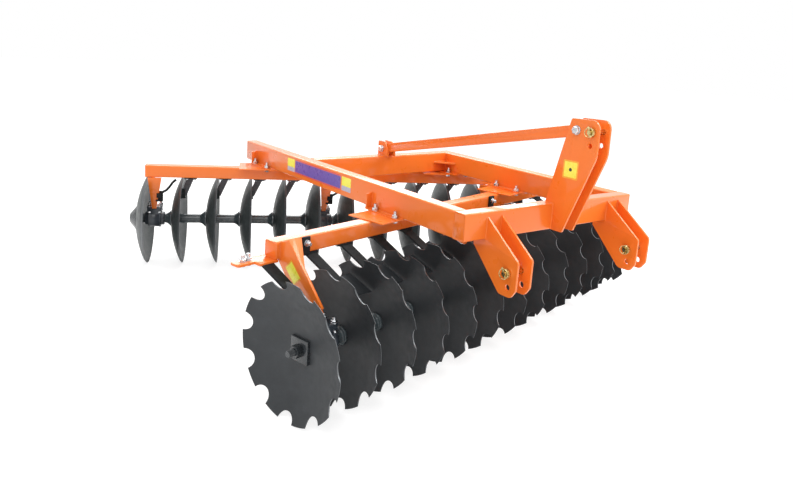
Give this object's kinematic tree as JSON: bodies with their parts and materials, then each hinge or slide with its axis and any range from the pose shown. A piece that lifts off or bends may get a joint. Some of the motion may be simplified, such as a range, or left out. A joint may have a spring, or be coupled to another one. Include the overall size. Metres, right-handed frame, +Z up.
{
  "type": "mounted offset disc harrow",
  "caption": "Tractor-mounted offset disc harrow: notched front gang and plain rear gang set in a V under an orange box frame, with mast, tie bar and hitch brackets.",
  "frame": {"origin": "centre of the bounding box on the ground, at the height of the lowest disc edge", "axes": "+X to the machine's left, +Y to its rear (the hitch is at -Y), +Z up"},
  "size_m": [2.9176, 2.9262, 1.279],
  "materials": {
    "orange_paint": "glossy orange paint",
    "notched_disc_steel": "satin charcoal grey",
    "plain_disc_steel": "satin grey, faintly green",
    "black_gang_parts": "glossy black paint",
    "black_castings": "glossy black paint on castings",
    "dark_scraper_steel": "satin dark grey",
    "yellow_zinc": "yellow zinc plate",
    "bright_zinc": "bright zinc plate"
  },
  "bodies": {
    "frame": {"front_bearings": "black_castings", "rear_bearings": "black_castings", "front_hangers": "orange_paint", "rear_hangers": "orange_paint", "front_gang_beam": "orange_paint", "rear_gang_beam": "orange_paint", "front_beam": "orange_paint", "right_side_beam": "orange_paint", "left_side_beam": "orange_paint", "cross_beam": "orange_paint", "beam_end_caps": "orange_paint", "corner_gussets": "orange_paint", "gang_beam_plates": "orange_paint", "frame_plates": "orange_paint", "crossing_ribs": "orange_paint", "right_hitch_plates": "orange_paint", "left_hitch_plates": "orange_paint", "right_hitch_pin": "yellow_zinc", "left_hitch_pin": "yellow_zinc", "mast_plates": "orange_paint", "top_link_pin": "yellow_zinc", "tie_bar": "orange_paint", "tie_bar_ears": "orange_paint", "tie_bar_front_bolt": "bright_zinc", "tie_bar_rear_bolt": "bright_zinc", "front_scraper_legs": "dark_scraper_steel", "front_scraper_blades": "dark_scraper_steel", "front_scraper_shanks": "dark_scraper_steel", "rear_scraper_legs": "dark_scraper_steel", "rear_scraper_blades": "dark_scraper_steel", "rear_scraper_shanks": "dark_scraper_steel", "scraper_end_plate": "orange_paint", "beam_straps": "dark_scraper_steel"},
    "front_gang": {"front_gang_discs": "notched_disc_steel", "front_gang_spools": "black_gang_parts", "front_gang_shaft": "black_gang_parts", "front_gang_end_washer": "black_gang_parts", "front_gang_nut": "black_gang_parts", "front_gang_far_washer": "black_gang_parts"},
    "rear_gang": {"rear_gang_discs": "plain_disc_steel", "rear_gang_spools": "black_gang_parts", "rear_gang_shaft": "black_gang_parts", "rear_gang_end_bell": "black_gang_parts", "rear_gang_far_washer": "black_gang_parts"}
  },
  "joints": [
    {"name": "front_gang_spin", "type": "hinge", "parent": "frame", "child": "front_gang", "pos_m": [-1.3496, -1.13919, 0.305], "axis": [0.9767, 0.2147, 0], "continuous": true},
    {"name": "rear_gang_spin", "type": "hinge", "parent": "frame", "child": "rear_gang", "pos_m": [-1.1769, 1.18681, 0.305], "axis": [0.9033, -0.4289, 0], "continuous": true}
  ]
}
